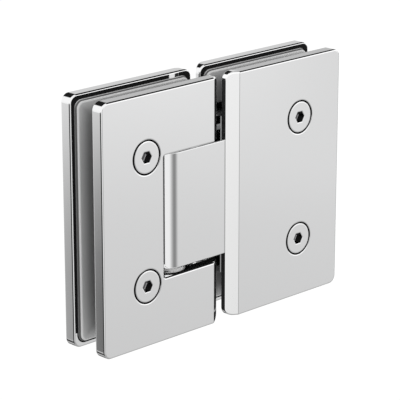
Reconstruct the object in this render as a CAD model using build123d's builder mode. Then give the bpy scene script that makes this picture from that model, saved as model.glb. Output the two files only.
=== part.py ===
from build123d import *
import math
import os

# Glass door hinge, two clamp leaves at 180 degrees. Millimetres.
# X runs across the leaves, Y from the front to the back, Z up along the pivot.
# The origin lies on the lower edge, under the middle of the gap between the leaves.

# Cover plates, four of them
plate_width = 55.5
plate_height = 90.0
plate_thick = 4.85
plate_corner = 3.0
plate_edge = 0.65
leaf_gap = 4.1
door_bevel_width = 3.9
fixed_bevel_width = 4.4
bevel_land = 2.1

# Glass and the gaskets that grip it
glass_thick = 8.0
gasket_thick = 1.4
gasket_side_inset = 1.75
gasket_end_inset = 1.9
gasket_corner = 3.0
gasket_edge = 0.65
gasket_gap = 1.0

# Countersunk screws, and the blind threads that take them
door_screw_from_notch = 7.8
fixed_screw_from_gap = 35.0
screw_end_margin = 6.0
screw_radius = 3.0
screw_head_radius = 5.8
screw_head_rim = 0.45
screw_head_angle = 90.0
screw_tip_chamfer = 0.6
socket_across = 4.0
socket_depth = 3.0
screw_play = 0.2
thread_play = 0.05
thread_skin = 1.0
thread_end_gap = 0.3

# Pivot body: barrel, neck and tongue in one casting
pin_from_edge = 17.5
body_recess = 2.5
neck_height = 42.0
block_margin = 6.5
body_edge = 0.4
block_edge = 0.25

# Notch in the door plates, and the yoke behind it
notch_play = 1.0
notch_clearance = 2.45
notch_corner = 0.8
arm_height = 7.0
arm_reach = 8.0

# Pivot pin, bushes and thrust washers
pin_radius = 4.0
pin_inset = 0.5
pin_chamfer = 0.5
flat_depth = 0.7
flat_margin = 1.5
bush_radius = 5.5
bush_margin = 1.25
bore_play = 0.3
washer_radius = 6.8
washer_play = 0.05
running_gap = 0.05
slip_gap = 0.02
grub_radius = 2.0
grub_socket_across = 2.0
grub_socket_depth = 2.0
grub_recess = 0.3

# Self-centring plungers, springs and plugs, along X in the pivot body
plunger_spacing = 20.0
plunger_wall = 1.65
plunger_chamfer = 0.5
nose_play = 0.1
pocket_depth = 8.0
pocket_wall = 0.8
spring_space = 25.0
spring_play = 0.1
spring_wire = 1.2
spring_turns = 4
spring_end_gap = 0.05
plug_length = 8.0
plug_recess = 0.5
plug_socket_across = 3.0
plug_socket_depth = 4.0

# Worked out from the sizes above
clamp_gap = glass_thick + 2 * gasket_thick
total_depth = clamp_gap + 2 * plate_thick
face_y = total_depth / 2
inner_y = clamp_gap / 2
mid_z = plate_height / 2
bevel_depth = plate_thick - bevel_land
thread_depth = plate_thick - thread_skin
body_thick = total_depth - 2 * body_recess
barrel_radius = body_thick / 2
door_edge_x = -leaf_gap / 2
fixed_edge_x = leaf_gap / 2
pin_x = door_edge_x - pin_from_edge
notch_x = pin_x - barrel_radius - notch_clearance
door_screw_x = notch_x - door_screw_from_notch
fixed_screw_x = fixed_edge_x + fixed_screw_from_gap
yoke_end_x = door_screw_x - block_margin
tongue_end_x = fixed_screw_x + block_margin
notch_height = neck_height + 2 * notch_play
inner_height = notch_height + 2 * arm_height
arm_end_x = pin_x + arm_reach
neck_bottom = mid_z - neck_height / 2
neck_top = mid_z + neck_height / 2
notch_bottom = mid_z - notch_height / 2
inner_bottom = mid_z - inner_height / 2
inner_top = mid_z + inner_height / 2
screw_heights = (inner_bottom + screw_end_margin, inner_top - screw_end_margin)
grub_heights = (inner_bottom + arm_height / 2, inner_top - arm_height / 2)
plunger_heights = (mid_z - plunger_spacing / 2, mid_z + plunger_spacing / 2)
plunger_bore = inner_y - plunger_wall
plunger_radius = plunger_bore - running_gap
pocket_radius = plunger_radius - pocket_wall
spring_radius = pocket_radius - spring_play - spring_wire / 2
flat_distance = pin_radius - flat_depth
bush_length = (neck_height - plunger_spacing) / 2 - plunger_bore - bush_margin
nose_x = pin_x + pin_radius + nose_play
plug_back_x = tongue_end_x - plug_recess
plug_front_x = plug_back_x - plug_length
pocket_end_x = plug_front_x - spring_space
plunger_back_x = pocket_end_x + pocket_depth
front_plane = Plane.XZ.offset(face_y)
front_inner_plane = Plane.XZ.offset(inner_y)
tiny = 0.001

os.makedirs("parts", exist_ok=True)


def finish(builder, name):
    builder.part.label = name
    export_step(builder.part, f"parts/{name}.step")


# A front cover plate, built from its pivot-side edge outwards (side is -1 for the door leaf).
def front_plate(edge_x, side, bevel_width, notched):
    with BuildPart() as plate:
        with BuildSketch(front_plane) as outline:
            with Locations((edge_x + side * plate_width / 2, mid_z)):
                RectangleRounded(plate_width, plate_height, plate_corner)
            if notched:
                notch_width = edge_x - notch_x
                with Locations((edge_x - notch_width / 2, mid_z)):
                    Rectangle(notch_width, notch_height, mode=Mode.SUBTRACT)
                corners = outline.vertices().filter_by_position(Axis.X, notch_x - tiny, notch_x + tiny)
                fillet(corners, notch_corner)
        extrude(amount=-plate_thick)
        with BuildSketch(Plane.XY):
            with BuildLine():
                Polyline(
                    (edge_x, -face_y),
                    (edge_x, -face_y + bevel_depth),
                    (edge_x + side * bevel_width, -face_y),
                    close=True,
                )
            make_face()
        extrude(amount=plate_height, mode=Mode.SUBTRACT)
        fillet(plate.edges().filter_by(Axis.Y, reverse=True), plate_edge)
    return plate.part


# Countersunk holes go through the front plates, blind threads into the inner faces of the back ones.
def cover_pair(leaf, edge_x, side, bevel_width, notched, screw_x):
    blank = front_plate(edge_x, side, bevel_width, notched)
    with BuildPart() as front:
        add(blank)
        with Locations(front_plane):
            with Locations([(screw_x, z) for z in screw_heights]):
                CounterSinkHole(
                    screw_radius + screw_play,
                    screw_head_radius + screw_head_rim,
                    counter_sink_angle=screw_head_angle,
                )
    finish(front, f"{leaf}_front_plate")
    with BuildPart() as back:
        add(mirror(blank, about=Plane.XZ))
        with BuildSketch(Plane.XZ.offset(-inner_y)):
            with Locations([(screw_x, z) for z in screw_heights]):
                Circle(screw_radius + thread_play)
        extrude(amount=-thread_depth, mode=Mode.SUBTRACT)
    finish(back, f"{leaf}_back_plate")


cover_pair("door", door_edge_x, -1, door_bevel_width, True, door_screw_x)
cover_pair("fixed", fixed_edge_x, 1, fixed_bevel_width, False, fixed_screw_x)


# Gasket pads lie on the inner faces of the plates, cut out round the yoke or the tongue.
def gasket_pair(leaf, edge_x, side, block_end_x):
    cut_end_x = block_end_x + side * gasket_gap
    pivot_edge_x = edge_x + side * gasket_side_inset
    with BuildPart() as front:
        with BuildSketch(front_inner_plane):
            with Locations((edge_x + side * plate_width / 2, mid_z)):
                RectangleRounded(
                    plate_width - 2 * gasket_side_inset,
                    plate_height - 2 * gasket_end_inset,
                    gasket_corner,
                )
            with Locations(((cut_end_x + pivot_edge_x) / 2, mid_z)):
                Rectangle(abs(cut_end_x - pivot_edge_x), inner_height + 2 * gasket_gap, mode=Mode.SUBTRACT)
        extrude(amount=-gasket_thick)
        chamfer(front.faces().sort_by(Axis.Y)[-1].edges(), gasket_edge)
    finish(front, f"{leaf}_front_gasket")
    with BuildPart() as back:
        add(mirror(front.part, about=Plane.XZ))
    finish(back, f"{leaf}_back_gasket")


gasket_pair("door", door_edge_x, -1, yoke_end_x)
gasket_pair("fixed", fixed_edge_x, 1, tongue_end_x)


# Countersunk hex socket screws, from the front face to just short of the bottom of their threads.
screw_tip_y = inner_y + thread_depth - thread_end_gap
head_rim_y = -face_y + screw_head_rim
head_cone = (screw_head_radius - screw_radius) / math.tan(math.radians(screw_head_angle / 2))
head_end_y = head_rim_y + head_cone
for leaf, screw_x in (("door", door_screw_x), ("fixed", fixed_screw_x)):
    for level, screw_z in zip(("lower", "upper"), screw_heights):
        axis_plane = Plane((screw_x, 0, screw_z), x_dir=(1, 0, 0), z_dir=(0, 0, 1))
        with BuildPart() as screw:
            with BuildSketch(axis_plane):
                with BuildLine():
                    Polyline(
                        (0, -face_y),
                        (screw_head_radius, -face_y),
                        (screw_head_radius, head_rim_y),
                        (screw_radius, head_end_y),
                        (screw_radius, screw_tip_y),
                        (0, screw_tip_y),
                        close=True,
                    )
                make_face()
            revolve(axis=Axis((screw_x, 0, screw_z), (0, 1, 0)))
            chamfer(screw.edges().sort_by(Axis.Y)[-1], screw_tip_chamfer)
            with BuildSketch(front_plane):
                with Locations((screw_x, screw_z)):
                    RegularPolygon(socket_across / 2, 6, major_radius=False)
            extrude(amount=-socket_depth, mode=Mode.SUBTRACT)
        finish(screw, f"{leaf}_screw_{level}")


# Pivot body: rounded barrel and neck, with a taller and thinner tongue between the fixed plates.
with BuildPart() as tongue:
    with BuildSketch(Plane.XY.offset(inner_bottom)):
        with Locations(((fixed_edge_x + tongue_end_x) / 2, 0)):
            Rectangle(tongue_end_x - fixed_edge_x, clamp_gap)
    extrude(amount=inner_height)
    chamfer(tongue.edges(), block_edge)

with BuildPart() as hinge_body:
    with BuildSketch(Plane.XY.offset(neck_bottom)):
        with Locations((pin_x, 0)):
            Circle(barrel_radius)
        with Locations(((pin_x + fixed_edge_x) / 2, 0)):
            Rectangle(fixed_edge_x - pin_x, body_thick)
    extrude(amount=neck_height)
    rim = hinge_body.edges().group_by(Axis.Z)
    fillet(
        (rim[0] + rim[-1]).filter_by(lambda edge: edge.center().X < fixed_edge_x - tiny),
        body_edge,
    )
    with BuildSketch(Plane.XY.offset(neck_bottom + body_edge)):
        with Locations((fixed_edge_x, 0)):
            Rectangle(4 * body_edge, clamp_gap)
    extrude(amount=neck_height - 2 * body_edge)
    add(tongue.part)
    with Locations(Plane((pin_x, 0, neck_top))):
        CounterBoreHole(pin_radius + bore_play, bush_radius + slip_gap, bush_length)
    with Locations(Plane((pin_x, 0, neck_bottom), z_dir=(0, 0, -1))):
        CounterBoreHole(pin_radius + bore_play, bush_radius + slip_gap, bush_length)
    with BuildSketch(Plane.YZ.offset(tongue_end_x)):
        with Locations([(0, z) for z in plunger_heights]):
            Circle(plunger_bore)
    extrude(amount=pin_x - tongue_end_x, mode=Mode.SUBTRACT)
    with BuildSketch(front_plane):
        with Locations([(fixed_screw_x, z) for z in screw_heights]):
            Circle(screw_radius + screw_play)
    extrude(amount=-total_depth, mode=Mode.SUBTRACT)
finish(hinge_body, "hinge_body")


# Yoke: a C between the door plates, web round the screws, arms that hold the pin's ends.
with BuildPart() as door_yoke:
    with BuildSketch(front_inner_plane) as profile:
        with Locations(((yoke_end_x + arm_end_x) / 2, mid_z)):
            Rectangle(arm_end_x - yoke_end_x, inner_height)
        with Locations(((notch_x + arm_end_x) / 2, mid_z)):
            Rectangle(arm_end_x - notch_x, notch_height, mode=Mode.SUBTRACT)
        fillet(profile.vertices().filter_by_position(Axis.X, notch_x - tiny, notch_x + tiny), notch_corner)
    extrude(amount=-clamp_gap)
    chamfer(door_yoke.edges().filter_by(Axis.Y, reverse=True).filter_by(Axis.Z, reverse=True), block_edge)
    with BuildSketch(Plane.XY.offset(inner_bottom)):
        with Locations((pin_x, 0)):
            Circle(pin_radius + slip_gap)
    extrude(amount=inner_height, mode=Mode.SUBTRACT)
    with BuildSketch(Plane.YZ.offset(arm_end_x)):
        with Locations([(0, z) for z in grub_heights]):
            Circle(grub_radius + thread_play)
    extrude(amount=-arm_reach, mode=Mode.SUBTRACT)
    with BuildSketch(front_plane):
        with Locations([(door_screw_x, z) for z in screw_heights]):
            Circle(screw_radius + screw_play)
    extrude(amount=-total_depth, mode=Mode.SUBTRACT)
finish(door_yoke, "door_yoke")


# Pivot pin, with four flats where the plungers bear.
flat_bottom = plunger_heights[0] - plunger_bore - flat_margin
flat_top = plunger_heights[1] + plunger_bore + flat_margin
with BuildPart() as pivot_pin:
    with BuildSketch(Plane.XY.offset(inner_bottom + pin_inset)):
        with Locations((pin_x, 0)):
            Circle(pin_radius)
    extrude(amount=inner_height - 2 * pin_inset)
    ends = pivot_pin.edges().group_by(Axis.Z)
    chamfer(ends[0] + ends[-1], pin_chamfer)
    with BuildSketch(Plane.XY.offset(flat_bottom)):
        with Locations((pin_x, 0)):
            Circle(2 * pin_radius)
            Rectangle(2 * flat_distance, 2 * flat_distance, mode=Mode.SUBTRACT)
    extrude(amount=flat_top - flat_bottom, mode=Mode.SUBTRACT)
finish(pivot_pin, "pivot_pin")


# Bushes in the barrel, flush with its ends.
for level, bush_bottom in (("lower", neck_bottom), ("upper", neck_top - bush_length)):
    with BuildPart() as bush:
        with BuildSketch(Plane.XY.offset(bush_bottom)):
            with Locations((pin_x, 0)):
                Circle(bush_radius)
                Circle(pin_radius + running_gap, mode=Mode.SUBTRACT)
        extrude(amount=bush_length)
    finish(bush, f"pivot_bush_{level}")


# Thrust washers: the lower one lies on the yoke's arm, the upper one on the barrel.
for level, washer_bottom in (("lower", notch_bottom), ("upper", neck_top)):
    with BuildPart() as washer:
        with BuildSketch(Plane.XY.offset(washer_bottom)):
            with Locations((pin_x, 0)):
                Circle(washer_radius)
                Circle(pin_radius + running_gap, mode=Mode.SUBTRACT)
        extrude(amount=notch_play - washer_play)
    finish(washer, f"thrust_washer_{level}")


# Grub screws in the ends of the arms, against the pin.
for level, grub_z in zip(("lower", "upper"), grub_heights):
    with BuildPart() as grub:
        with BuildSketch(Plane.YZ.offset(arm_end_x - grub_recess)):
            with Locations((0, grub_z)):
                Circle(grub_radius)
        extrude(amount=-(arm_reach - grub_recess - pin_radius - slip_gap))
        with BuildSketch(Plane.YZ.offset(arm_end_x - grub_recess)):
            with Locations((0, grub_z)):
                RegularPolygon(grub_socket_across / 2, 6, major_radius=False)
        extrude(amount=-grub_socket_depth, mode=Mode.SUBTRACT)
    finish(grub, f"pin_grub_screw_{level}")


# Plungers, pushed back clear of the pin's round; springs behind them; threaded plugs at the end.
for level, bore_z in zip(("lower", "upper"), plunger_heights):
    with BuildPart() as plunger:
        with BuildSketch(Plane.YZ.offset(nose_x)):
            with Locations((0, bore_z)):
                Circle(plunger_radius)
        extrude(amount=plunger_back_x - nose_x)
        chamfer(plunger.edges().sort_by(Axis.X)[0], plunger_chamfer)
        with BuildSketch(Plane.YZ.offset(plunger_back_x)):
            with Locations((0, bore_z)):
                Circle(pocket_radius)
        extrude(amount=-pocket_depth, mode=Mode.SUBTRACT)
    finish(plunger, f"plunger_{level}")

    with BuildPart() as plug:
        with BuildSketch(Plane.YZ.offset(plug_front_x)):
            with Locations((0, bore_z)):
                Circle(plunger_bore - thread_play)
        extrude(amount=plug_length)
        with BuildSketch(Plane.YZ.offset(plug_back_x)):
            with Locations((0, bore_z)):
                RegularPolygon(plug_socket_across / 2, 6, major_radius=False)
        extrude(amount=-plug_socket_depth, mode=Mode.SUBTRACT)
    finish(plug, f"spring_plug_{level}")

    spring_start_x = pocket_end_x + spring_end_gap
    spring_length = plug_front_x - spring_end_gap - spring_start_x
    spring_pitch = spring_length / spring_turns
    with BuildPart() as spring:
        with BuildLine():
            coil = Helix(
                pitch=spring_pitch,
                height=spring_length,
                radius=spring_radius,
                center=(spring_start_x, 0, bore_z),
                direction=(1, 0, 0),
            )
        from_axis = coil @ 0 - Vector(spring_start_x, 0, bore_z)
        with BuildSketch(Plane(coil @ 0, x_dir=from_axis, z_dir=coil % 0)):
            Rectangle(spring_wire, spring_wire)
        sweep(is_frenet=True)
        split(bisect_by=Plane.YZ.offset(spring_start_x + spring_wire / 4), keep=Keep.TOP)
        split(bisect_by=Plane.YZ.offset(spring_start_x + spring_length - spring_wire / 4), keep=Keep.BOTTOM)
    finish(spring, f"centring_spring_{level}")
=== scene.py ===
import bpy
import bmesh
import math
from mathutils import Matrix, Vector


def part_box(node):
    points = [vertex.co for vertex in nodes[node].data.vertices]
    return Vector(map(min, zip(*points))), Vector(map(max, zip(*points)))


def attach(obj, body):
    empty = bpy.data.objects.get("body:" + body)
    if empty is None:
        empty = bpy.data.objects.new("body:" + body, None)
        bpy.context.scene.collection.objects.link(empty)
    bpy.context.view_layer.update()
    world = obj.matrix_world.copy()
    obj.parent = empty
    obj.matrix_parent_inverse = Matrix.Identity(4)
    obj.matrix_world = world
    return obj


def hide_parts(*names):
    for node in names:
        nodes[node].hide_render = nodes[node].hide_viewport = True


# Looks of a glass-to-glass shower door hinge in polished chrome, set flat.
# Metres. X runs across the leaves, Y from the screw heads to the back, Z up along the pivot.
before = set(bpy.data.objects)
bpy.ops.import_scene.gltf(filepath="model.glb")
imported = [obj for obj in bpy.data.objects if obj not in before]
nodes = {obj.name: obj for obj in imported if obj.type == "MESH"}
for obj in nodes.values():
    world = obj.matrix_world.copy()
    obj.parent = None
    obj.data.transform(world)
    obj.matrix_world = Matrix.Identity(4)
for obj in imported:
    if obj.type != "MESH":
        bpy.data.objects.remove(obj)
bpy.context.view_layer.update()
scene = bpy.context.scene
print("frame loaded:", len(nodes), "nodes")


# small helpers for node trees
def setInputs(tree, node, inputs):
    for key, value in inputs.items():
        if isinstance(value, bpy.types.NodeSocket):
            tree.links.new(value, node.inputs[key])
        else:
            node.inputs[key].default_value = value


def addNode(tree, kind, inputs=None, **settings):
    node = tree.nodes.new(kind)
    for key, value in settings.items():
        setattr(node, key, value)
    setInputs(tree, node, inputs or {})
    return node


def calc(tree, operation, a, b=0.0, c=0.0):
    count = 3 if operation in ("MULTIPLY_ADD", "WRAP") else 2
    inputs = dict(list(enumerate((a, b, c)))[:count])
    return addNode(tree, "ShaderNodeMath", inputs, operation=operation).outputs[0]


def smoothRange(tree, value, start, end, low, high):
    return addNode(tree, "ShaderNodeMapRange",
                   {"Value": value, "From Min": start, "From Max": end, "To Min": low, "To Max": high},
                   interpolation_type="SMOOTHSTEP").outputs["Result"]


def mixColour(tree, factor, first, second):
    # a Mix node's colours are its inputs 6 and 7 and its output 2
    mix = addNode(tree, "ShaderNodeMix", {"Factor": factor, 6: first, 7: second}, data_type="RGBA")
    return mix.outputs[2]


def newGroup(name, inputs, outputs, kind="ShaderNodeTree"):
    tree = bpy.data.node_groups.new(name, kind)
    for label, socket, value in inputs:
        made = tree.interface.new_socket(label, in_out="INPUT", socket_type=socket)
        if value is not None:
            made.default_value = value
    for label, socket in outputs:
        tree.interface.new_socket(label, in_out="OUTPUT", socket_type=socket)
    return tree, tree.nodes.new("NodeGroupInput").outputs, tree.nodes.new("NodeGroupOutput").inputs


# camera, at the photograph's angle
cameraSetup = {
    "azimuth": -43.876,      # degrees round from the front, towards the door leaf
    "elevation": 17.573,
    "distance": 0.7286,
    "lens": 185.56,
    "sensor": 36.0,
    "clip": (0.01, 50),
    "lookAt": (-0.00318, -0.00025, 0.04325),
}


def makeCamera(setup):
    azimuth, elevation = math.radians(setup["azimuth"]), math.radians(setup["elevation"])
    back = Vector((math.sin(azimuth) * math.cos(elevation), -math.cos(azimuth) * math.cos(elevation),
                   math.sin(elevation)))
    data = bpy.data.cameras.new("camera")
    data.lens = setup["lens"]
    data.sensor_width = setup["sensor"]
    data.clip_start, data.clip_end = setup["clip"]
    camera = bpy.data.objects.new("camera", data)
    camera.location = Vector(setup["lookAt"]) + back * setup["distance"]
    camera.rotation_euler = (-back).to_track_quat("-Z", "Y").to_euler()
    scene.collection.objects.link(camera)
    scene.camera = camera


makeCamera(cameraSetup)
print("camera placed")


# studio: white for the camera, plain light for diffuse surfaces, and cards that the chrome mirrors
studio = {
    "plainLevel": 0.72,      # light that soft surfaces get from all round
    "lampPower": 1.6,
    "lampSize": 0.9,
    "lampPlace": (-0.45, -0.55, 0.95),
    "floorColour": (0.8, 0.8, 0.8, 1),
    "floorWhite": 0.95,      # share of the floor that is plain white to the camera, the rest keeps the shadow
    "floorGlow": 1.06,       # strength of that white
    "floorSize": 3.0,
    # brightness of the surroundings by elevation, in degrees
    "surround": [(-90, 0.44), (-60, 0.36), (-30, 0.54), (-21, 0.645), (-18, 0.69), (-16, 0.755), (-14, 0.83),
                 (-8, 0.95), (5, 1.0), (60, 1.0), (90, 0.9)],
    # soft-edged cards: azimuth from the front towards +X, elevation, half width, half height, edge
    # softness across and up, brightness
    "cards": [
        {"name": "leftGlow", "azimuth": -36, "elevation": -18, "halfWidth": 9, "halfHeight": 14,
         "softAcross": 16, "softUp": 8, "level": 0.9},
        {"name": "darkStand", "azimuth": 3.5, "elevation": -18, "halfWidth": 1.5, "halfHeight": 20,
         "softAcross": 23, "softUp": 12, "level": 0.26},
        {"name": "leftFlag", "azimuth": -96, "elevation": -30, "halfWidth": 34, "halfHeight": 20,
         "softAcross": 6, "softUp": 10, "level": 0.04},
        {"name": "sideShade", "azimuth": -129, "elevation": -40, "halfWidth": 9, "halfHeight": 19.5,
         "softAcross": 4, "softUp": 8, "level": 0.07},
        {"name": "topFlag", "azimuth": 121, "elevation": 41, "halfWidth": 77, "halfHeight": 18,
         "softAcross": 6, "softUp": 5, "level": 0.012},
        {"name": "topPanel", "azimuth": 136, "elevation": 14, "halfWidth": 8, "halfHeight": 3,
         "softAcross": 8, "softUp": 4, "level": 0.655},
        {"name": "frontPanel", "azimuth": 52, "elevation": 17, "halfWidth": 16, "halfHeight": 11,
         "softAcross": 10, "softUp": 5, "level": 1.3},
        {"name": "frontShade", "azimuth": 53, "elevation": -12.5, "halfWidth": 4, "halfHeight": 2.5,
         "softAcross": 6, "softUp": 3, "level": 0.73},
        {"name": "rightFlag", "azimuth": 103, "elevation": -20, "halfWidth": 23, "halfHeight": 14,
         "softAcross": 7, "softUp": 6, "level": 0.012},
        {"name": "lowShade", "azimuth": -153, "elevation": -36, "halfWidth": 6, "halfHeight": 7,
         "softAcross": 3, "softUp": 3, "level": 0.03},
        {"name": "lowFlag", "azimuth": 158, "elevation": -40, "halfWidth": 9, "halfHeight": 8,
         "softAcross": 4, "softUp": 4, "level": 0.05},
    ],
}


def makeCardGroup():
    tree, given, result = newGroup(
        "softCard",
        [("Around", "NodeSocketFloat", 0), ("Up", "NodeSocketFloat", 0),
         ("Azimuth", "NodeSocketFloat", 0), ("Elevation", "NodeSocketFloat", 0),
         ("Half Width", "NodeSocketFloat", 1), ("Half Height", "NodeSocketFloat", 1),
         ("Soft Across", "NodeSocketFloat", 1), ("Soft Up", "NodeSocketFloat", 1)],
        [("Mask", "NodeSocketFloat")])
    turn = calc(tree, "SUBTRACT", given["Around"], given["Azimuth"])
    across = calc(tree, "ABSOLUTE", calc(tree, "WRAP", turn, 180.0, -180.0))
    upward = calc(tree, "ABSOLUTE", calc(tree, "SUBTRACT", given["Up"], given["Elevation"]))
    acrossMask = smoothRange(tree, across, given["Half Width"],
                             calc(tree, "ADD", given["Half Width"], given["Soft Across"]), 1, 0)
    upMask = smoothRange(tree, upward, given["Half Height"],
                         calc(tree, "ADD", given["Half Height"], given["Soft Up"]), 1, 0)
    tree.links.new(calc(tree, "MULTIPLY", acrossMask, upMask), result["Mask"])
    return tree


def makeStudio(setup):
    world = bpy.data.worlds.new("studio")
    world.use_nodes = True
    tree = world.node_tree
    tree.nodes.clear()
    direction = addNode(tree, "ShaderNodeSeparateXYZ",
                        {0: addNode(tree, "ShaderNodeTexCoord").outputs["Generated"]}).outputs
    degrees = 180 / math.pi
    around = calc(tree, "MULTIPLY", calc(tree, "ARCTAN2", direction["X"],
                                         calc(tree, "MULTIPLY", direction["Y"], -1.0)), degrees)
    upward = calc(tree, "MULTIPLY", calc(tree, "ARCSINE", direction["Z"]), degrees)
    ramp = addNode(tree, "ShaderNodeValToRGB",
                   {0: calc(tree, "MULTIPLY_ADD", upward, 1 / 180, 0.5)})
    stops = ramp.color_ramp.elements
    while len(stops) < len(setup["surround"]):
        stops.new(0.5)
    for stop, (elevation, level) in zip(stops, setup["surround"]):
        stop.position = elevation / 180 + 0.5
        stop.color = (level, level, level, 1)
    level = ramp.outputs["Color"]
    cardGroup = makeCardGroup()
    for card in setup["cards"]:
        given = {"Around": around, "Up": upward, "Azimuth": card["azimuth"], "Elevation": card["elevation"],
                 "Half Width": card["halfWidth"], "Half Height": card["halfHeight"],
                 "Soft Across": card["softAcross"], "Soft Up": card["softUp"]}
        mask = addNode(tree, "ShaderNodeGroup", given, node_tree=cardGroup).outputs["Mask"]
        level = mixColour(tree, mask, level, (card["level"], card["level"], card["level"], 1))
    mirrored = addNode(tree, "ShaderNodeBackground", {"Color": level})
    plain = addNode(tree, "ShaderNodeBackground",
                    {"Color": (1, 1, 1, 1), "Strength": setup["plainLevel"]})
    white = addNode(tree, "ShaderNodeBackground", {"Color": (1, 1, 1, 1), "Strength": 1.0})
    rays = addNode(tree, "ShaderNodeLightPath").outputs
    shiny = addNode(tree, "ShaderNodeMixShader",
                    {0: rays["Is Glossy Ray"], 1: plain.outputs[0], 2: mirrored.outputs[0]})
    seen = addNode(tree, "ShaderNodeMixShader",
                   {0: rays["Is Camera Ray"], 1: shiny.outputs[0], 2: white.outputs[0]})
    addNode(tree, "ShaderNodeOutputWorld", {"Surface": seen.outputs[0]})
    scene.world = world

    lamp = bpy.data.lights.new("softLamp", "AREA")
    lamp.energy = setup["lampPower"]
    lamp.size = setup["lampSize"]
    lampObject = bpy.data.objects.new("softLamp", lamp)
    lampObject.location = setup["lampPlace"]
    lampObject.rotation_euler = (-Vector(setup["lampPlace"])).to_track_quat("-Z", "Y").to_euler()
    lampObject.visible_glossy = False
    scene.collection.objects.link(lampObject)


def makeFloor(setup):
    half = setup["floorSize"] / 2
    mesh = bpy.data.meshes.new("floor")
    corners = [(-half, -half, 0), (half, -half, 0), (half, half, 0), (-half, half, 0)]
    mesh.from_pydata(corners, [], [(0, 1, 2, 3)])
    floor = bpy.data.objects.new("floor", mesh)
    scene.collection.objects.link(floor)
    material = bpy.data.materials.new("floor")
    material.use_nodes = True
    tree = material.node_tree
    tree.nodes.clear()
    pale = addNode(tree, "ShaderNodeBsdfDiffuse", {"Color": setup["floorColour"]})
    white = addNode(tree, "ShaderNodeEmission", {"Color": (1, 1, 1, 1), "Strength": setup["floorGlow"]})
    share = calc(tree, "MULTIPLY", addNode(tree, "ShaderNodeLightPath").outputs["Is Camera Ray"],
                 setup["floorWhite"])
    mixed = addNode(tree, "ShaderNodeMixShader", {0: share, 1: pale.outputs[0], 2: white.outputs[0]})
    addNode(tree, "ShaderNodeOutputMaterial", {"Surface": mixed.outputs[0]})
    mesh.materials.append(material)
    floor.visible_glossy = False
    floor.visible_diffuse = False


makeStudio(studio)
makeFloor(studio)
scene.view_settings.view_transform = "Standard"
print("studio and floor made")


# shared effects, as node groups that put out values only
polish = {
    "slowDetail": 3.0,
    "slowRoughness": 0.5,
    "slowRange": (0.3, 0.7), # noise levels that give the least and the greatest roughness
    "fineTimes": 26.0,       # how much finer the fine marks are
    "fineDetail": 2.0,
    "fineShare": 0.12,       # height of the fine marks next to the slow ones
    "bumpDepth": 0.0001,
}


def makePolishGroup(setup):
    # slow and fine variation of a polished face: roughness and a faint waviness
    tree, given, result = newGroup(
        "polishMarks",
        [("Vector", "NodeSocketVector", None), ("Roughness", "NodeSocketFloat", 0.05),
         ("Spread", "NodeSocketFloat", 0.02), ("Scale", "NodeSocketFloat", 60)],
        [("Roughness", "NodeSocketFloat"), ("Height", "NodeSocketFloat")])
    slow = addNode(tree, "ShaderNodeTexNoise",
                   {"Vector": given["Vector"], "Scale": given["Scale"], "Detail": setup["slowDetail"],
                    "Roughness": setup["slowRoughness"]})
    fineScale = calc(tree, "MULTIPLY", given["Scale"], setup["fineTimes"])
    fine = addNode(tree, "ShaderNodeTexNoise",
                   {"Vector": given["Vector"], "Scale": fineScale, "Detail": setup["fineDetail"]})
    low = calc(tree, "SUBTRACT", given["Roughness"], given["Spread"])
    high = calc(tree, "ADD", given["Roughness"], given["Spread"])
    roughness = smoothRange(tree, slow.outputs["Fac"], *setup["slowRange"], low, high)
    tree.links.new(roughness, result["Roughness"])
    height = calc(tree, "MULTIPLY_ADD", fine.outputs["Fac"], setup["fineShare"], slow.outputs["Fac"])
    tree.links.new(height, result["Height"])
    return tree


def makeRingGroup():
    # the round spot of a countersink, where painted shade goes, and the distance from the nearer screw's axis
    tree, given, result = newGroup(
        "grooveShadeRing",
        [("Vector", "NodeSocketVector", None), ("Screw X", "NodeSocketFloat", 0),
         ("Lower Z", "NodeSocketFloat", 0), ("Upper Z", "NodeSocketFloat", 0),
         ("Outer Radius", "NodeSocketFloat", 0.0062)],
        [("Mask", "NodeSocketFloat"), ("Radius", "NodeSocketFloat")])
    place = addNode(tree, "ShaderNodeSeparateXYZ", {0: given["Vector"]}).outputs
    across = calc(tree, "SUBTRACT", place["X"], given["Screw X"])
    toLower = calc(tree, "ABSOLUTE", calc(tree, "SUBTRACT", place["Z"], given["Lower Z"]))
    toUpper = calc(tree, "ABSOLUTE", calc(tree, "SUBTRACT", place["Z"], given["Upper Z"]))
    up = calc(tree, "MINIMUM", toLower, toUpper)
    radius = calc(tree, "SQRT", calc(tree, "ADD", calc(tree, "MULTIPLY", across, across),
                                     calc(tree, "MULTIPLY", up, up)))
    tree.links.new(calc(tree, "LESS_THAN", radius, given["Outer Radius"]), result["Mask"])
    tree.links.new(radius, result["Radius"])
    return tree


def makeBoxGroup():
    # 1 inside an upright box, 0 outside
    tree, given, result = newGroup(
        "insideBox",
        [("Vector", "NodeSocketVector", None), ("Low", "NodeSocketVector", None),
         ("High", "NodeSocketVector", None)],
        [("Mask", "NodeSocketFloat")])
    at, low, high = [addNode(tree, "ShaderNodeSeparateXYZ", {0: given[label]}).outputs
                     for label in ("Vector", "Low", "High")]
    mask = 1.0
    for axis in "XYZ":
        above = calc(tree, "GREATER_THAN", at[axis], low[axis])
        below = calc(tree, "LESS_THAN", at[axis], high[axis])
        mask = calc(tree, "MULTIPLY", mask, calc(tree, "MULTIPLY", above, below))
    tree.links.new(mask, result["Mask"])
    return tree


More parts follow.
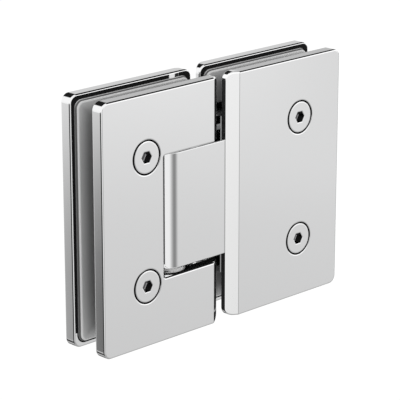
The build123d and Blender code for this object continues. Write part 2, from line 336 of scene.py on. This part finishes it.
def makeOutlineGroup():
    # distance in from a pad's rounded outline on either leaf, negative outside it
    tree, given, result = newGroup(
        "padOutline",
        [("Vector", "NodeSocketVector", None),
         ("Middle X", "NodeSocketFloat", 0), ("Middle Z", "NodeSocketFloat", 0),
         ("Half Width", "NodeSocketFloat", 1), ("Half Height", "NodeSocketFloat", 1),
         ("Corner", "NodeSocketFloat", 0.003)],
        [("Inside", "NodeSocketFloat")])
    at = addNode(tree, "ShaderNodeSeparateXYZ", {0: given["Vector"]}).outputs
    beyond = []
    for value, middle, half in ((calc(tree, "ABSOLUTE", at["X"]), given["Middle X"], given["Half Width"]),
                                (at["Z"], given["Middle Z"], given["Half Height"])):
        out = calc(tree, "ABSOLUTE", calc(tree, "SUBTRACT", value, middle))
        beyond.append(calc(tree, "SUBTRACT", out, calc(tree, "SUBTRACT", half, given["Corner"])))
    squares = [calc(tree, "POWER", calc(tree, "MAXIMUM", value, 0.0), 2.0) for value in beyond]
    curved = calc(tree, "SQRT", calc(tree, "ADD", *squares))
    straight = calc(tree, "MINIMUM", calc(tree, "MAXIMUM", *beyond), 0.0)
    inside = calc(tree, "SUBTRACT", given["Corner"], calc(tree, "ADD", curved, straight))
    tree.links.new(inside, result["Inside"])
    return tree


polishGroup = makePolishGroup(polish)
ringGroup = makeRingGroup()
boxGroup = makeBoxGroup()
outlineGroup = makeOutlineGroup()


def newMaterial(name):
    material = bpy.data.materials.new(name)
    material.use_nodes = True
    tree = material.node_tree
    shader = tree.nodes["Principled BSDF"]
    place = addNode(tree, "ShaderNodeTexCoord").outputs["Object"]
    return material, tree, shader, place


def addPolish(tree, shader, place, roughness, kind):
    spread, scale, bump = finishes[kind]
    marks = addNode(tree, "ShaderNodeGroup",
                    {"Vector": place, "Roughness": roughness, "Spread": spread, "Scale": scale},
                    node_tree=polishGroup).outputs
    ripple = addNode(tree, "ShaderNodeBump",
                     {"Height": marks["Height"], "Strength": bump, "Distance": polish["bumpDepth"]})
    setInputs(tree, shader, {"Roughness": marks["Roughness"], "Normal": ripple.outputs["Normal"]})


finishes = {
    # polish marks: spread of the roughness, scale, strength of the bump
    "chromeMarks": (0.015, 55, 0.02),
    "rubberMarks": (0.05, 900, 0.1),
    "washerMarks": (0.05, 500, 0.05),
    "turnedMarks": (0.06, 400, 0.05),
    "chromeColour": (0.93, 0.932, 0.935, 1),
    "chromeRoughness": 0.045,
    "yokeShadeColour": (0.3, 0.303, 0.306, 1),
    "yokeRoughness": 0.2,
    "grooveShadeColour": (0.03, 0.03, 0.032, 1),
    "grooveWidth": 0.0004,
    "rimWidth": 0.00045,     # softened edge of the countersink
    "rimDepth": 0.00028,
    "sunkFrom": 0.00013,     # a screw gets painted shade deeper than this, down to this far above its socket's floor
    "sunkShadeColour": (0.12, 0.12, 0.122, 1),
    "socketFloorShadeColour": (0.6, 0.6, 0.605, 1),
    "bevelHighlightColour": (1, 1, 1, 1),
    "innerShadeColour": (0.03, 0.03, 0.031, 1),     # painted shade: near black for faces that the leaves keep in the dark
    "innerRoughness": 0.85,
    "mattBelow": 0.1,        # shades darker than this get that roughness too
    "gapShadeColour": (0.07, 0.07, 0.071, 1),
    "topEdgeShadeColour": (0.2, 0.201, 0.203, 1),      # painted shade on the softened inner top edge of a front plate
    "topShadeColour": (0.68, 0.682, 0.685, 1),      # painted shade: its top face, darker than a back plate's
    "notchShadeColour": (0.1, 0.1, 0.101, 1),
    "besideShadeColour": (0.6, 0.602, 0.605, 1),    # painted shade on the body face next to the fixed leaf's bevel
    "contactWidth": 0.0005,  # painted shade: dark line round the foot of a pad
    "stripBottom": 0.0056,   # the painted shade of the strip beside a pad stops at this height
    "gasketEdgeHighlightColour": (0.84, 0.842, 0.842, 1),
    "gasketColour": (0.72, 0.722, 0.722, 1),
    "gasketDeepShadeColour": (0.3, 0.301, 0.302, 1),
    "gasketWallShadeColour": (0.12, 0.12, 0.121, 1),
    "gasketFootShadeColour": (0.2, 0.201, 0.202, 1),
    "gasketTopFootShadeColour": (0.62, 0.622, 0.622, 1),
    "gasketDeep": 0.0065,    # distance in from the outline where a pad's painted shade is darkest
    "gasketWall": 0.0046,    # distance from the glass's middle where the pad's wall with painted shade starts
    "gasketWallSoft": (-0.0002, 0.0001),       # the wall's painted shade fades in over this range round it
    "gasketFoot": 0.0051,    # where its foot on the plate starts, which gets painted shade
    "gasketTopFoot": (0.0855, 0.088),          # the foot's painted shade turns to its lighter top colour between these heights
    "gasketEdge": (0.0004, 0.0009),            # the painted highlight on the edge fades out over this range in from the slope
    "gasketRoughness": 0.38,
    "washerColour": (0.95, 0.95, 0.945, 1),
    "washerRoughness": 0.25,
    "washerLip": 0.00075,    # a washer is pale this near the notch's floor or ceiling, with painted shade beyond
    "bushColour": (0.72, 0.56, 0.3, 1),
    "bushRoughness": 0.3,
    "steelColour": (0.56, 0.565, 0.57, 1),
    "steelRoughness": 0.32,
}
padShape = {
    "slope": 0.00045,        # how far the wall leans in from the plate
    "rounding": 0.00065,
    "steps": 7,
    "corner": 0.003,
    "cornerSteps": 12,
    "blockGap": 0.001,       # round the yoke or the tongue
    "mitreLimit": 0.2,       # keeps a sharp corner from running far inwards
    "sharpAngle": 40,        # degrees
    "flatNormal": 0.999,     # faces that look this straight along Y are shaded flat
}
screwShape = {
    "segments": 96,
    "headClear": 0.0002,     # the head is this much smaller in radius than its CAD solid
    "rimChamfer": 0.0003,
    "rimFall": 0.00011,
    "rimDepth": 0.00045,
    "socketAcross": 0.004,
    "socketLip": 0.00024,
    "lipFall": 0.00009,
    "flatEdge": 0.00012,     # narrow ring that keeps the head's face flat up to its edges
    "socketDepth": 0.003,
    "drillDepth": 0.0004,
    "drillShare": 0.8,       # of the socket's half width
    "shankRadius": 0.003,
    "tipChamfer": 0.0006,
    "mergeWithin": 0.00003,
    "sharpAngle": 28,        # degrees
}
screwPlaces = {}
for leaf in ("door", "fixed"):
    low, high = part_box(leaf + "_screw_lower")
    upLow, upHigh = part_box(leaf + "_screw_upper")
    screwPlaces[leaf] = {"x": (low.x + high.x) / 2, "lower": (low.z + high.z) / 2,
                         "upper": (upLow.z + upHigh.z) / 2, "face": low.y, "tip": high.y,
                         "head": (high.x - low.x) / 2}


def boxMask(tree, place, box):
    # a box is its (low, high) along X, Y and Z
    low, high = zip(*box)
    return addNode(tree, "ShaderNodeGroup", {"Vector": place, "Low": low, "High": high},
                   node_tree=boxGroup).outputs["Mask"]


def padInside(tree, place):
    low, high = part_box("fixed_back_gasket")
    pad = {"Vector": place, "Middle X": (low.x + high.x) / 2, "Middle Z": (low.z + high.z) / 2,
           "Half Width": (high.x - low.x) / 2, "Half Height": (high.z - low.z) / 2,
           "Corner": padShape["corner"]}
    return addNode(tree, "ShaderNodeGroup", pad, node_tree=outlineGroup).outputs["Inside"]


# boxes: (box, colour) of faces with painted shade or a painted highlight; strip: depth of a plate's inner
# border that gets painted shade
def makeChrome(name, leaf=None, colour=None, roughness=None, boxes=(), strip=None):
    material, tree, shader, place = newMaterial(name)
    shader.inputs["Metallic"].default_value = 1
    base = colour or finishes["chromeColour"]
    addPolish(tree, shader, place, roughness or finishes["chromeRoughness"], "chromeMarks")
    masks = []
    # painted shade: a plate's inner border and a line round each pad's foot are made near black and matt
    if strip:
        near = boxMask(tree, place, (wide, (-strip, strip), wide))
        high = boxMask(tree, place, (wide, wide, (finishes["stripBottom"], far)))
        foot = calc(tree, "GREATER_THAN", padInside(tree, place), -finishes["contactWidth"])
        lit = calc(tree, "SUBTRACT", 1.0, boxMask(tree, place, litInner))
        dark = calc(tree, "MULTIPLY", near, calc(tree, "MULTIPLY", lit, calc(tree, "MAXIMUM", high, foot)))
        masks.append((dark, finishes["innerShadeColour"]))
    masks += [(boxMask(tree, place, box), shade) for box, shade in boxes]
    matt = shader.inputs["Roughness"].links[0].from_socket
    for mask, shade in masks:
        base = mixColour(tree, mask, base, shade)
        if shade[0] < finishes["mattBelow"]:
            matt = calc(tree, "MAXIMUM", matt, calc(tree, "MULTIPLY", mask, finishes["innerRoughness"]))
    tree.links.new(matt, shader.inputs["Roughness"])
    if leaf:
        at = screwPlaces[leaf]
        edge = at["head"] + finishes["grooveWidth"]
        ring = addNode(tree, "ShaderNodeGroup",
                       {"Vector": place, "Screw X": at["x"], "Lower Z": at["lower"], "Upper Z": at["upper"],
                        "Outer Radius": edge}, node_tree=ringGroup).outputs
        # painted shade: the countersink's gap round each screw head is near black
        base = mixColour(tree, ring["Mask"], base, finishes["grooveShadeColour"])
        width = finishes["rimWidth"]
        rim = smoothRange(tree, ring["Radius"], edge - width, edge + width, 0, 1)
        soften = addNode(tree, "ShaderNodeBump",
                         {"Height": rim, "Strength": 1.0, "Distance": finishes["rimDepth"],
                          "Normal": shader.inputs["Normal"].links[0].from_socket})
        tree.links.new(soften.outputs["Normal"], shader.inputs["Normal"])
    setInputs(tree, shader, {"Base Color": base})
    return material


def makeScrewChrome(name, face, socketDepth):
    material, tree, shader, place = newMaterial(name)
    shader.inputs["Metallic"].default_value = 1
    addPolish(tree, shader, place, finishes["chromeRoughness"], "chromeMarks")
    # painted shade: the head's sunk rim and socket walls are dark, the socket floor less so
    depth = calc(tree, "SUBTRACT", addNode(tree, "ShaderNodeSeparateXYZ", {0: place}).outputs["Y"], face)
    sunk = calc(tree, "GREATER_THAN", depth, finishes["sunkFrom"])
    floor = calc(tree, "GREATER_THAN", depth, socketDepth - finishes["sunkFrom"])
    colour = mixColour(tree, sunk, finishes["chromeColour"], finishes["sunkShadeColour"])
    colour = mixColour(tree, floor, colour, finishes["socketFloorShadeColour"])
    setInputs(tree, shader, {"Base Color": colour})
    return material


def makePlastic(name, colour, roughness, heights):
    # painted shade: the part between two heights, under the pivot body's edge, is dark
    material, tree, shader, place = newMaterial(name)
    under = boxMask(tree, place, (wide, wide, heights))
    setInputs(tree, shader, {"Base Color": mixColour(tree, under, colour, finishes["notchShadeColour"])})
    addPolish(tree, shader, place, roughness, "washerMarks")
    return material


# pad rubber, with painted shade down in the slot where light doesn't reach, on its wall and on its foot, and
# a painted highlight along its rounded edge
def makeRubber(name):
    material, tree, shader, place = newMaterial(name)
    at = addNode(tree, "ShaderNodeSeparateXYZ", {0: place}).outputs
    inside = padInside(tree, place)
    # painted highlight: a lighter colour along the pad's rounded edge
    edgeRange = [padShape["slope"] + value for value in finishes["gasketEdge"]]
    edge = smoothRange(tree, inside, *edgeRange, 1, 0)
    colour = mixColour(tree, edge, finishes["gasketColour"], finishes["gasketEdgeHighlightColour"])
    deep = smoothRange(tree, inside, 0.0, finishes["gasketDeep"], 0, 1)
    colour = mixColour(tree, deep, colour, finishes["gasketDeepShadeColour"])
    out = calc(tree, "ABSOLUTE", at["Y"])
    wallRange = [finishes["gasketWall"] + value for value in finishes["gasketWallSoft"]]
    wall = smoothRange(tree, out, *wallRange, 0, 1)
    colour = mixColour(tree, wall, colour, finishes["gasketWallShadeColour"])
    foot = calc(tree, "GREATER_THAN", out, finishes["gasketFoot"])
    upper = smoothRange(tree, at["Z"], *finishes["gasketTopFoot"], 0, 1)
    shade = mixColour(tree, upper, finishes["gasketFootShadeColour"], finishes["gasketTopFootShadeColour"])
    colour = mixColour(tree, foot, colour, shade)
    setInputs(tree, shader, {"Base Color": colour})
    addPolish(tree, shader, place, finishes["gasketRoughness"], "rubberMarks")
    return material


def makeTurned(name, colour, roughness):
    material, tree, shader, place = newMaterial(name)
    shader.inputs["Metallic"].default_value = 1
    shader.inputs["Base Color"].default_value = colour
    addPolish(tree, shader, place, roughness, "turnedMarks")
    return material


# faces that get painted shade or a painted highlight, and where they lie
shadePlaces = {
    "far": 1.0,                          # past every face of the hinge
    "skin": 0.00002,                     # a box ends this far beyond the face that it takes in
    "topFaceY": (-0.0097, -0.0059),      # top of a front plate
    "topFaceZ": 0.08999,
    "topEdgeY": (-0.0062, -0.0054),      # its inner edge
    "topEdgeZ": 0.08945,
    "litX": (-0.0127, -0.008),           # here a back plate catches light through the leaves' gap, and its inner border gets no painted shade
    "litZ": 0.0881,
    "notchX": -0.02975,
    "notchZ": (0.023, 0.067),
    "notchDeep": 0.0001,                 # how far into the notch's side its painted shade reaches
    "ledgeY": (-0.00995, -0.0095),       # front edge of the notch's floor, which gets a line of painted shade
    "ledgeRise": (-0.0003, 0.0001),      # and its heights from that floor
    "bevelWidth": 0.0044,                # fixed leaf
    "gapDeep": 0.0001,                   # how far in from the gap between the leaves its painted shade reaches
    "besideWidth": 0.0006,               # pivot body next to the fixed leaf, which gets painted shade
    "besideY": -0.007,
    "bodyFoot": 0.02418,                 # below this height the pivot body gets painted shade
}
far, skin = shadePlaces["far"], shadePlaces["skin"]
wide = (-far, far)
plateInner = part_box("door_back_plate")[0].y + skin
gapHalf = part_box("fixed_back_plate")[0].x
notchX, notchZ = shadePlaces["notchX"], shadePlaces["notchZ"]
litInner = (shadePlaces["litX"], (0, far), (shadePlaces["litZ"], far))
outside = (-far, -plateInner)
topFaceShade = ((wide, shadePlaces["topFaceY"], (shadePlaces["topFaceZ"], far)), finishes["topShadeColour"])
topEdgeShade = ((wide, shadePlaces["topEdgeY"], (shadePlaces["topEdgeZ"], far)), finishes["topEdgeShadeColour"])
# painted shade: the notch's side is dark
notchSideShade = (((notchX - shadePlaces["notchDeep"], notchX + skin), wide, notchZ), finishes["notchShadeColour"])
# painted shade: a dark line along the front edge of the notch's floor
ledgeShade = (((notchX, 0), shadePlaces["ledgeY"], [notchZ[0] + rise for rise in shadePlaces["ledgeRise"]]),
         finishes["innerShadeColour"])
# painted highlight: the fixed leaf's bevel is a brighter chrome than the rest
bevel = (((gapHalf, gapHalf + shadePlaces["bevelWidth"]), outside, wide), finishes["bevelHighlightColour"])
# painted shade: the fixed leaf's face in the gap between the leaves is dark
gapShade = (((-far, gapHalf + shadePlaces["gapDeep"]), outside, wide), finishes["gapShadeColour"])
besideShade = (((gapHalf - shadePlaces["besideWidth"], gapHalf), (-far, shadePlaces["besideY"]), wide),
          finishes["besideShadeColour"])
bodyFootShade = (((-far, gapHalf), wide, (-far, shadePlaces["bodyFoot"])), finishes["innerShadeColour"])
# painted shade: the tongue inside the fixed leaf takes the yoke's dark colour
tongue = (((gapHalf - skin, far), wide, wide), finishes["yokeShadeColour"])

doorChrome = makeChrome("doorPlateChrome", "door", strip=plateInner,
                        boxes=[notchSideShade, ledgeShade, topFaceShade, topEdgeShade])
fixedChrome = makeChrome("fixedPlateChrome", "fixed", strip=plateInner,
                         boxes=[topFaceShade, topEdgeShade, bevel, gapShade])
backChrome = makeChrome("backPlateChrome", strip=plateInner)
bodyChrome = makeChrome("pivotBodyChrome", boxes=[besideShade, bodyFootShade, tongue])
screwChrome = makeScrewChrome("screwChrome", screwPlaces["door"]["face"], screwShape["socketDepth"])
# painted shade: the yoke inside the leaves is a dark chrome, its roughness a duller finish
yokeChrome = makeChrome("yokeChrome", colour=finishes["yokeShadeColour"], roughness=finishes["yokeRoughness"])
gasketRubber = makeRubber("gasketRubber")
washerPlastic = makePlastic("washerPlastic", finishes["washerColour"], finishes["washerRoughness"],
                            (notchZ[0] + finishes["washerLip"], notchZ[1] - finishes["washerLip"]))
bushBrass = makeTurned("bushBrass", finishes["bushColour"], finishes["bushRoughness"])
turnedSteel = makeTurned("turnedSteel", finishes["steelColour"], finishes["steelRoughness"])

wears = {
    "door_front_plate": doorChrome, "door_back_plate": backChrome,
    "fixed_front_plate": fixedChrome, "fixed_back_plate": backChrome, "hinge_body": bodyChrome,
    "door_yoke": yokeChrome,
}
for name, node in nodes.items():
    if "gasket" in name:
        finish = gasketRubber
    elif "washer" in name:
        finish = washerPlastic
    elif "bush" in name:
        finish = bushBrass
    elif name in wears:
        finish = wears[name]
    elif name.startswith(("door_screw", "fixed_screw")):
        finish = screwChrome
    else:
        finish = turnedSteel
    node.data.materials.clear()
    node.data.materials.append(finish)
print("materials made")


# closed mesh with its faces outwards, smooth apart from edges sharper than an angle
def smoothMesh(mesh, degrees):
    work = bmesh.new()
    work.from_mesh(mesh)
    bmesh.ops.recalc_face_normals(work, faces=work.faces)
    work.to_mesh(mesh)
    work.free()
    mesh.shade_smooth()
    mesh.set_sharp_from_angle(angle=math.radians(degrees))


# pads between the plates and the glass: an outline pulled from the plate over a sloped wall and rounded edge
def padOutline(low, high, side, blockEnd, blockLow, blockHigh):
    # corners in order round the pad, side 1 for a pad whose pivot edge is at its low X
    near, far = (low.x, high.x) if side > 0 else (high.x, low.x)
    radius, clear = padShape["corner"], padShape["blockGap"]
    cutX = blockEnd + side * clear
    points = []

    def corner(x, z, turnX, turnZ, first):
        # quarter round whose middle lies inside the pad by turnX, turnZ
        for step in range(padShape["cornerSteps"] + 1):
            angle = math.pi / 2 * step / padShape["cornerSteps"]
            a, b = (math.sin(angle), math.cos(angle)) if first == "z" else (math.cos(angle), math.sin(angle))
            points.append((x + turnX * radius * (1 - a), z + turnZ * radius * (1 - b)))

    points.append((near, blockHigh + clear))
    corner(near, high.z, side, -1, "x")
    corner(far, high.z, -side, -1, "z")
    corner(far, low.z, -side, 1, "x")
    corner(near, low.z, side, 1, "z")
    points.append((near, blockLow - clear))
    points.append((cutX, blockLow - clear))
    points.append((cutX, blockHigh + clear))
    return [Vector(point) for point in points]


def insetOutline(points, amount):
    # each corner moves inwards along its mitre; the sign comes from which way the outline runs
    area = sum(a.x * b.y - b.x * a.y for a, b in zip(points, points[1:] + points[:1]))
    turn = 1 if area > 0 else -1
    moved = []
    for index, point in enumerate(points):
        before = (point - points[index - 1]).normalized()
        after = (points[(index + 1) % len(points)] - point).normalized()
        normalA = Vector((-before.y, before.x)) * turn
        normalB = Vector((-after.y, after.x)) * turn
        mitre = (normalA + normalB).normalized()
        moved.append(point + mitre * amount / max(mitre.dot(normalA), padShape["mitreLimit"]))
    return moved


def makePad(leaf, place, side, body, blockNode, finish):
    node = f"{leaf}_{place}_gasket"
    low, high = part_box(node)
    blockLow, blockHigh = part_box(blockNode)
    blockEnd = blockHigh.x if side > 0 else blockLow.x
    outline = padOutline(low, high, side, blockEnd, blockLow.z, blockHigh.z)
    plateY, glassY = (low.y, high.y) if place == "front" else (high.y, low.y)
    inward = 1 if glassY > plateY else -1
    rounding, steps = padShape["rounding"], padShape["steps"]
    rings = [(0.0, plateY)]
    for step in range(steps + 1):
        angle = math.pi / 2 * step / steps
        rings.append((padShape["slope"] + rounding * (1 - math.cos(angle)),
                      glassY - inward * rounding * (1 - math.sin(angle))))
    work = bmesh.new()
    loops = []
    for inset, y in rings:
        loops.append([work.verts.new((point.x, y, point.y)) for point in insetOutline(outline, inset)])
    count = len(outline)
    for first, second in zip(loops, loops[1:]):
        for index in range(count):
            after = (index + 1) % count
            work.faces.new((first[index], first[after], second[after], second[index]))
    caps = [work.faces.new(loops[0]), work.faces.new(loops[-1])]
    mesh = bpy.data.meshes.new(node + "Pad")
    work.normal_update()
    bmesh.ops.triangulate(work, faces=caps)
    work.to_mesh(mesh)
    work.free()
    smoothMesh(mesh, padShape["sharpAngle"])
    for polygon in mesh.polygons:
        if abs(polygon.normal.y) > padShape["flatNormal"]:
            polygon.use_smooth = False
    mesh.materials.append(finish)
    pad = bpy.data.objects.new(f"{leaf}{place.capitalize()}Pad", mesh)
    scene.collection.objects.link(pad)
    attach(pad, body)
    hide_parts(node)


for place in ("front", "back"):
    makePad("door", place, -1, "door_leaf", "door_yoke", gasketRubber)
    makePad("fixed", place, 1, "fixed_leaf", "hinge_body", gasketRubber)
print("pads made")


# countersunk hex socket screws, a ring of vertices pulled along the screw's profile
def makeScrewTree(finish):
    tree, given, result = newGroup(
        "socketScrews",
        [("Geometry", "NodeSocketGeometry", None), ("Segments", "NodeSocketInt", 96),
         ("Head Radius", "NodeSocketFloat", 0.00585), ("Rim Chamfer", "NodeSocketFloat", 0.0002),
         ("Rim Fall", "NodeSocketFloat", 0.0001), ("Rim Depth", "NodeSocketFloat", 0.0003),
         ("Socket Across", "NodeSocketFloat", 0.004), ("Socket Lip", "NodeSocketFloat", 0.0002),
         ("Lip Fall", "NodeSocketFloat", 0.0001), ("Socket Depth", "NodeSocketFloat", 0.003),
         ("Flat Edge", "NodeSocketFloat", 0.0001), ("Drill Depth", "NodeSocketFloat", 0.0004),
         ("Shank Radius", "NodeSocketFloat", 0.003),
         ("Length", "NodeSocketFloat", 0.019), ("Tip Chamfer", "NodeSocketFloat", 0.0006),
         ("Finish", "NodeSocketMaterial", None)],
        [("Geometry", "NodeSocketGeometry")], "GeometryNodeTree")

    # only the ring's angles count, since every ring of the profile is placed anew
    ring = addNode(tree, "GeometryNodeMeshCircle", {"Vertices": given["Segments"], "Radius": 0.001})
    at = addNode(tree, "ShaderNodeSeparateXYZ", {0: addNode(tree, "GeometryNodeInputPosition").outputs[0]})
    angle = calc(tree, "ARCTAN2", at.outputs["Y"], at.outputs["X"])
    sixth = math.pi / 3
    turned = calc(tree, "SUBTRACT", calc(tree, "WRAP", angle, sixth, 0.0), sixth / 2)
    cosine, sine = calc(tree, "COSINE", angle), calc(tree, "SINE", angle)
    hexShare = calc(tree, "DIVIDE", 1.0, calc(tree, "COSINE", turned))

    def minus(a, b):
        return calc(tree, "SUBTRACT", a, b)

    def plus(a, b):
        return calc(tree, "ADD", a, b)

    def placeRing(radius, depth, sixSided):
        reach = calc(tree, "MULTIPLY", radius, hexShare) if sixSided else radius
        return addNode(tree, "ShaderNodeCombineXYZ",
                       {"X": calc(tree, "MULTIPLY", cosine, reach), "Y": calc(tree, "MULTIPLY", sine, reach),
                        "Z": calc(tree, "MULTIPLY", depth, -1.0)}).outputs[0]

    apothem = calc(tree, "MULTIPLY", given["Socket Across"], 0.5)
    lip = plus(apothem, given["Socket Lip"])
    rimStart = minus(given["Head Radius"], given["Rim Chamfer"])
    coneEnd = plus(given["Rim Depth"], minus(given["Head Radius"], given["Shank Radius"]))
    tiny = 0.00001
    # from the middle of the socket's floor, up its walls, over the head and down to the tip
    profile = [
        (tiny, plus(given["Socket Depth"], given["Drill Depth"]), False),
        (calc(tree, "MULTIPLY", apothem, screwShape["drillShare"]), given["Socket Depth"], False),
        (apothem, given["Socket Depth"], True),
        (apothem, given["Lip Fall"], True),
        (lip, 0.0, True),
        (plus(lip, given["Flat Edge"]), 0.0, True),
        (minus(rimStart, given["Flat Edge"]), 0.0, False),
        (rimStart, 0.0, False),
        (given["Head Radius"], given["Rim Fall"], False),
        (given["Head Radius"], given["Rim Depth"], False),
        (given["Shank Radius"], coneEnd, False),
        (given["Shank Radius"], minus(given["Length"], given["Tip Chamfer"]), False),
        (minus(given["Shank Radius"], given["Tip Chamfer"]), given["Length"], False),
        (tiny, given["Length"], False),
    ]
    first = addNode(tree, "GeometryNodeSetPosition",
                    {"Geometry": ring.outputs["Mesh"], "Position": placeRing(*profile[0])})
    shape, edge = first.outputs["Geometry"], True
    for step in profile[1:]:
        pulled = addNode(tree, "GeometryNodeExtrudeMesh",
                         {"Mesh": shape, "Selection": edge, "Offset Scale": 0.0}, mode="EDGES")
        edge = pulled.outputs["Top"]
        moved = addNode(tree, "GeometryNodeSetPosition",
                        {"Geometry": pulled.outputs["Mesh"], "Selection": edge,
                         "Position": placeRing(*step)})
        shape = moved.outputs["Geometry"]
    closed = addNode(tree, "GeometryNodeMergeByDistance",
                     {"Geometry": shape, "Distance": screwShape["mergeWithin"]})
    placed = addNode(tree, "GeometryNodeInstanceOnPoints",
                     {"Points": given["Geometry"], "Instance": closed.outputs[0],
                      "Rotation": (math.pi / 2, 0, 0)})
    real = addNode(tree, "GeometryNodeRealizeInstances", {"Geometry": placed.outputs["Instances"]})
    dressed = addNode(tree, "GeometryNodeSetMaterial",
                      {"Geometry": real.outputs["Geometry"], "Material": given["Finish"]})
    tree.links.new(dressed.outputs["Geometry"], result["Geometry"])
    return tree


def socketId(tree, label):
    return next(item.identifier for item in tree.interface.items_tree
                if item.item_type == "SOCKET" and item.in_out == "INPUT" and item.name == label)


def makeScrews(leaf, body, tree, finish):
    at = screwPlaces[leaf]
    mesh = bpy.data.meshes.new(leaf + "Screws")
    mesh.from_pydata([(at["x"], at["face"], at["lower"]), (at["x"], at["face"], at["upper"])], [], [])
    source = bpy.data.objects.new(leaf + "ScrewPoints", mesh)
    scene.collection.objects.link(source)
    modifier = source.modifiers.new("screws", "NODES")
    modifier.node_group = tree
    values = {"Segments": screwShape["segments"], "Head Radius": at["head"] - screwShape["headClear"],
              "Rim Chamfer": screwShape["rimChamfer"], "Rim Fall": screwShape["rimFall"],
              "Rim Depth": screwShape["rimDepth"], "Lip Fall": screwShape["lipFall"],
              "Flat Edge": screwShape["flatEdge"],
              "Socket Across": screwShape["socketAcross"], "Socket Lip": screwShape["socketLip"],
              "Socket Depth": screwShape["socketDepth"], "Drill Depth": screwShape["drillDepth"],
              "Shank Radius": screwShape["shankRadius"], "Length": at["tip"] - at["face"],
              "Tip Chamfer": screwShape["tipChamfer"], "Finish": finish}
    for label, value in values.items():
        modifier[socketId(tree, label)] = value
    bpy.context.view_layer.update()
    evaluated = source.evaluated_get(bpy.context.evaluated_depsgraph_get())
    plain = bpy.data.meshes.new_from_object(evaluated)
    bpy.data.objects.remove(source)
    smoothMesh(plain, screwShape["sharpAngle"])
    screws = bpy.data.objects.new(leaf + "Screws", plain)
    scene.collection.objects.link(screws)
    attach(screws, body)
    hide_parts(leaf + "_screw_lower", leaf + "_screw_upper")
    return screws


screwTree = makeScrewTree(screwChrome)
for leaf, body in (("door", "door_leaf"), ("fixed", "fixed_leaf")):
    made = makeScrews(leaf, body, screwTree, screwChrome)
    print(leaf, "screws made:", len(made.data.polygons), "faces")
